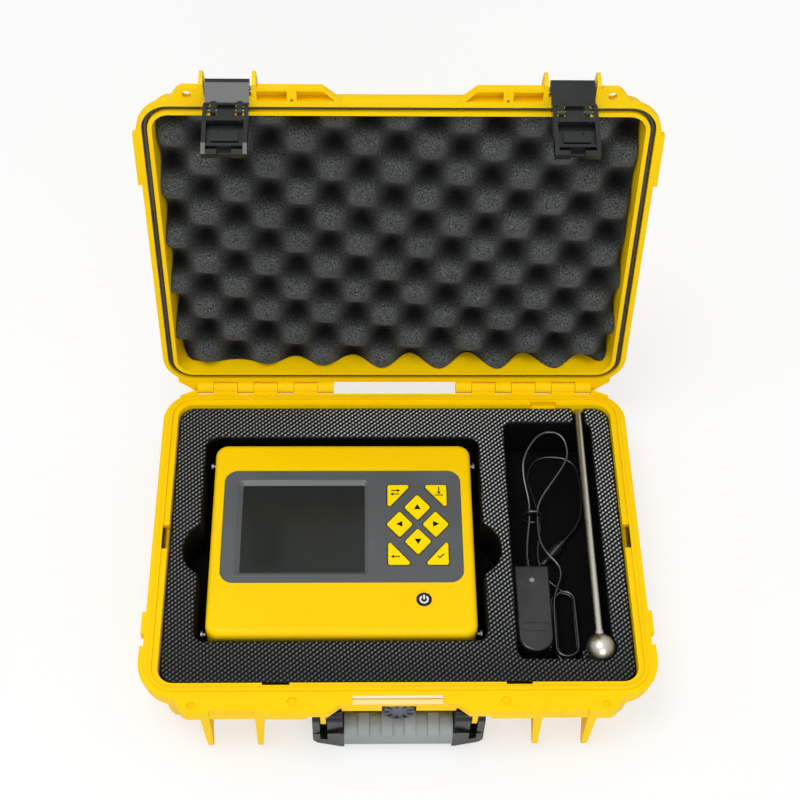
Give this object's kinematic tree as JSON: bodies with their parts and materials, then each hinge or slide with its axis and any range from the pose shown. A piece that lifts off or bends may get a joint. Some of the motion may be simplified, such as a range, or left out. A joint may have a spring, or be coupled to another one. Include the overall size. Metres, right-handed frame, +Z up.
{
  "type": "material thickness tester in carrying case",
  "caption": "Hand-held echo thickness tester with screen and keypad, hammer rod, charger and lead, in a hinged foam-lined carrying case with latches and a folding handle.",
  "frame": {"origin": "middle of the case base's underside, on the ground plane", "axes": "+X to the case's right seen from the handle side, +Y from the handle to the hinge, +Z up"},
  "size_m": [0.3946, 0.375, 0.3709],
  "materials": {
    "case_yellow": "textured yellow moulded shell",
    "case_black": "smooth black moulding",
    "grip_rubber": "matt ribbed rubber",
    "latch_grey": "smooth dark grey moulding",
    "valve_grey": "matt grey knob",
    "steel": "plain steel pins and screws",
    "seal_rubber": "soft black ring",
    "base_foam": "black closed-cell foam, embossed skin",
    "lid_foam": "dark grey convoluted foam",
    "unit_yellow": "satin yellow moulding",
    "panel_grey": "satin grey overlay",
    "screen_glass": "clear window",
    "screen_dark": "dark display",
    "key_yellow": "yellow keys with dark marks",
    "mat_rubber": "plain rubber",
    "power_silver": "bright ring",
    "power_button": "grey button with a pale mark",
    "board_green": "green board",
    "battery_blue": "wrapped cells",
    "socket_metal": "nickel plated",
    "socket_black": "black plastic",
    "impactor_steel": "polished steel",
    "charger_black": "fine matt black moulding",
    "charger_lamp": "small lens",
    "lead_black": "black cord"
  },
  "bodies": {
    "case_base": {"case_base_shell": "case_yellow", "base_foam_insert": "base_foam", "base_foam_pad": "base_foam", "hinge_pin_left": "steel", "hinge_pin_right": "steel", "purge_valve_stem": "case_black", "tester_top_cover": "unit_yellow", "tester_bottom_cover": "unit_yellow", "cover_screws": "steel", "front_panel": "panel_grey", "screen_window": "screen_glass", "screen_module": "screen_dark", "key_mat": "mat_rubber", "power_button_ring": "power_silver", "main_board": "board_green", "battery_pack": "battery_blue", "signal_socket": "socket_metal", "usb_socket": "socket_metal", "charge_socket": "socket_black", "strap_studs": "steel", "impactor_rod": "impactor_steel", "impactor_ball": "impactor_steel", "charger_cover": "charger_black", "charger_base": "charger_black", "charger_lamp": "charger_lamp", "charger_strain_relief": "lead_black", "charger_lead_tube": "lead_black", "charger_lead_hank": "lead_black", "charger_lead_tail": "lead_black", "charger_plug": "lead_black", "lead_tie": "lead_black"},
    "lid": {"case_lid_shell": "case_yellow", "lid_seal": "seal_rubber", "lid_foam": "lid_foam", "latch_pin_left": "steel", "latch_pin_right": "steel"},
    "strap_left": {"latch_strap_left": "latch_grey", "lever_pin_left": "steel"},
    "strap_right": {"latch_strap_right": "latch_grey", "lever_pin_right": "steel"},
    "lever_left": {"latch_lever_left": "latch_grey"},
    "lever_right": {"latch_lever_right": "latch_grey"},
    "handle": {"handle_frame": "case_black", "handle_grip": "grip_rubber", "handle_pins": "steel"},
    "valve_knob": {"purge_valve_knob": "valve_grey"},
    "power_button": {"power_button": "power_button"},
    "key_up": {"key_up": "key_yellow"},
    "key_down": {"key_down": "key_yellow"},
    "key_left": {"key_left": "key_yellow"},
    "key_right": {"key_right": "key_yellow"},
    "key_switch": {"key_switch": "key_yellow"},
    "key_store": {"key_store": "key_yellow"},
    "key_back": {"key_back": "key_yellow"},
    "key_confirm": {"key_confirm": "key_yellow"}
  },
  "joints": [
    {"name": "lid_hinge", "type": "hinge", "parent": "case_base", "child": "lid", "pos_m": [0, 0.1475, 0.068], "axis": [1, 0, 0], "range_deg": [0, 99]},
    {"name": "strap_left_pivot", "type": "hinge", "parent": "lid", "child": "strap_left", "pos_m": [-0.125, 0.19893, 0.36076], "axis": [1, 0, 0], "range_deg": [-38, 0]},
    {"name": "lever_left_pivot", "type": "hinge", "parent": "strap_left", "child": "lever_left", "pos_m": [-0.125, 0.17693, 0.3592], "axis": [1, 0, 0], "range_deg": [-90, 20]},
    {"name": "strap_right_pivot", "type": "hinge", "parent": "lid", "child": "strap_right", "pos_m": [0.125, 0.19893, 0.36076], "axis": [1, 0, 0], "range_deg": [-38, 0]},
    {"name": "lever_right_pivot", "type": "hinge", "parent": "strap_right", "child": "lever_right", "pos_m": [0.125, 0.17693, 0.3592], "axis": [1, 0, 0], "range_deg": [-90, 20]},
    {"name": "handle_pivot", "type": "hinge", "parent": "case_base", "child": "handle", "pos_m": [0, -0.146, 0.048], "axis": [1, 0, 0], "range_deg": [-105, 0]},
    {"name": "valve_turn", "type": "hinge", "parent": "case_base", "child": "valve_knob", "pos_m": [0, -0.138, 0.0462], "axis": [0, -1, 0], "range_deg": [0, 90]},
    {"name": "key_up_press", "type": "slide", "parent": "case_base", "child": "key_up", "axis": [0, 0, -1], "range_m": [0, 0.0008], "stiffness_N_per_m": 400},
    {"name": "key_down_press", "type": "slide", "parent": "case_base", "child": "key_down", "axis": [0, 0, -1], "range_m": [0, 0.0008], "stiffness_N_per_m": 400},
    {"name": "key_left_press", "type": "slide", "parent": "case_base", "child": "key_left", "axis": [0, 0, -1], "range_m": [0, 0.0008], "stiffness_N_per_m": 400},
    {"name": "key_right_press", "type": "slide", "parent": "case_base", "child": "key_right", "axis": [0, 0, -1], "range_m": [0, 0.0008], "stiffness_N_per_m": 400},
    {"name": "key_switch_press", "type": "slide", "parent": "case_base", "child": "key_switch", "axis": [0, 0, -1], "range_m": [0, 0.0008], "stiffness_N_per_m": 400},
    {"name": "key_store_press", "type": "slide", "parent": "case_base", "child": "key_store", "axis": [0, 0, -1], "range_m": [0, 0.0008], "stiffness_N_per_m": 400},
    {"name": "key_back_press", "type": "slide", "parent": "case_base", "child": "key_back", "axis": [0, 0, -1], "range_m": [0, 0.0008], "stiffness_N_per_m": 400},
    {"name": "key_confirm_press", "type": "slide", "parent": "case_base", "child": "key_confirm", "axis": [0, 0, -1], "range_m": [0, 0.0008], "stiffness_N_per_m": 400},
    {"name": "power_button_press", "type": "slide", "parent": "case_base", "child": "power_button", "axis": [0, 0, -1], "range_m": [0, 0.0008], "stiffness_N_per_m": 400}
  ],
  "couplings": [
    {"joint": "strap_left_pivot", "follows": "lid_hinge", "ratio": -0.38384},
    {"joint": "strap_right_pivot", "follows": "lid_hinge", "ratio": -0.38384}
  ]
}
